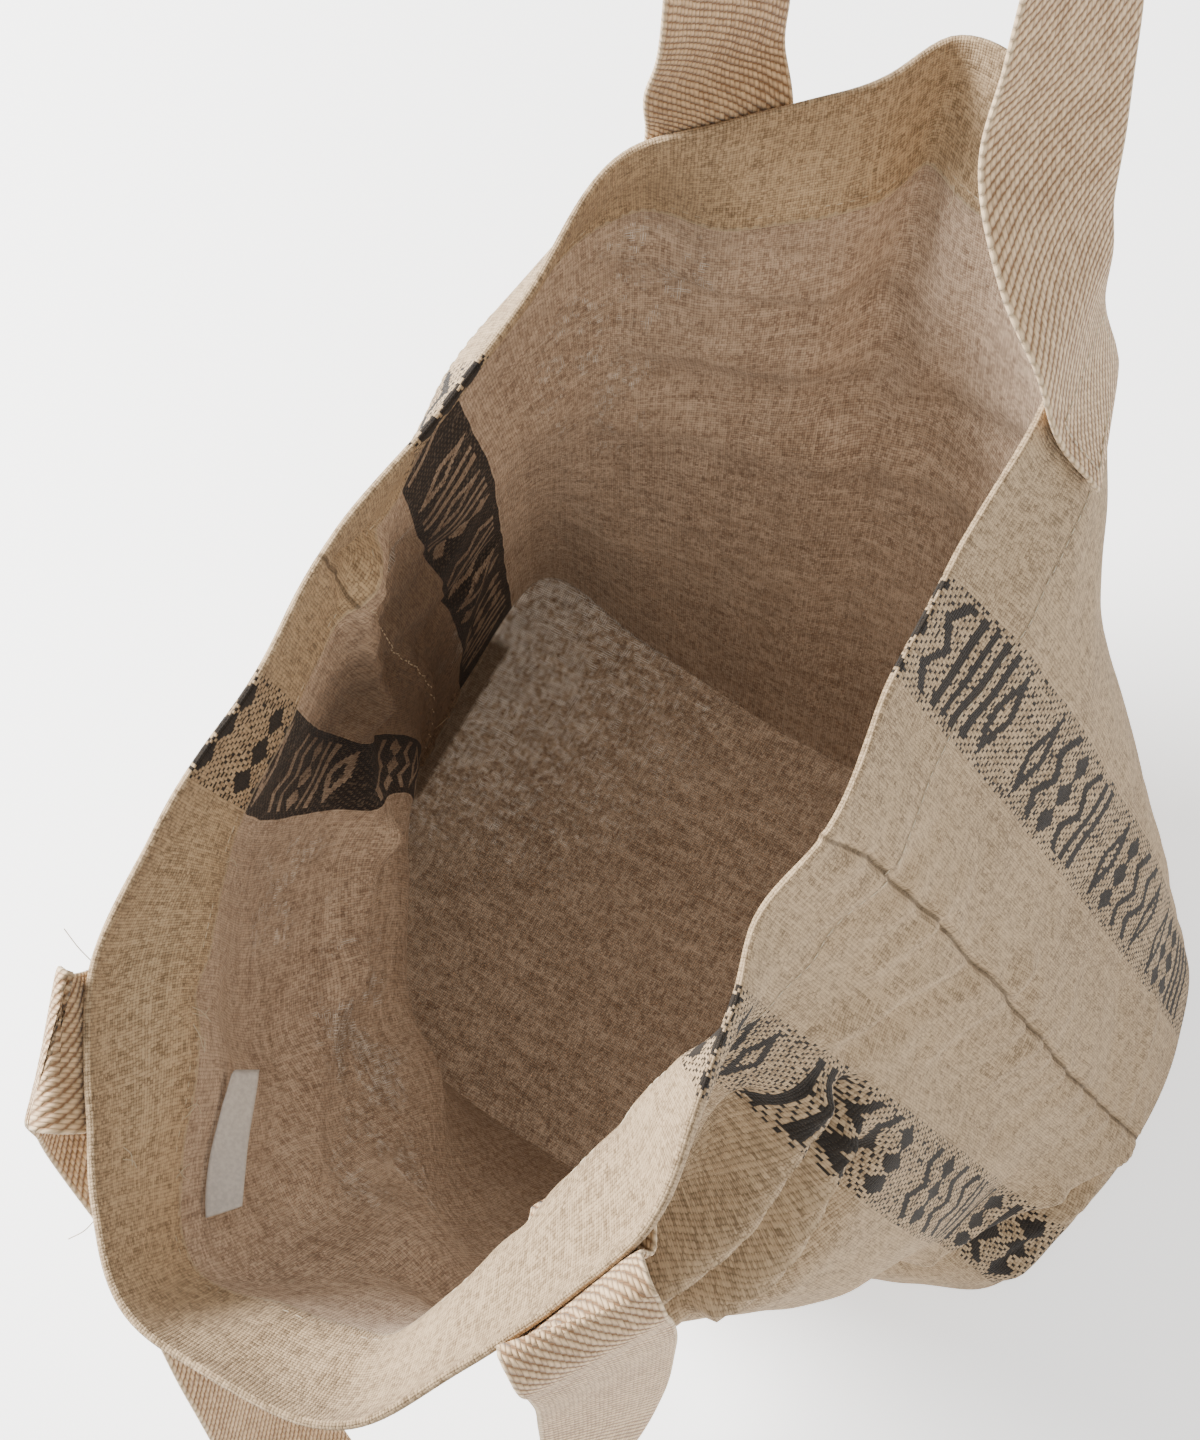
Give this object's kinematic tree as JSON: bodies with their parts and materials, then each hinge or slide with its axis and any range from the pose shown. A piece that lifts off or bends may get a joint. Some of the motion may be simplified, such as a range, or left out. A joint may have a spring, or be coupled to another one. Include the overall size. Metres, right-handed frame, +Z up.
{
  "type": "tote bag",
  "caption": "Open-topped linen tote bag with a boxed flat base, a turned-in hem and webbing handles sewn outside the rim.",
  "frame": {"origin": "on the table under the middle of the base, where the base rests", "axes": "+Z up, X along the base from the left side seam to the right one, +Y from the front wall to the back wall"},
  "size_m": [0.3173, 0.5092, 0.5597],
  "materials": {
    "linen": "plain-woven natural linen with dark woven bands",
    "jute_webbing_back": "coarse twill webbing",
    "jute_webbing_front": "coarse twill webbing",
    "label_satin": "plain white woven satin, blank"
  },
  "bodies": {
    "root": {"bag_body": "linen", "handle_back": "jute_webbing_back", "handle_front": "jute_webbing_front", "care_label": "label_satin"}
  },
  "joints": []
}
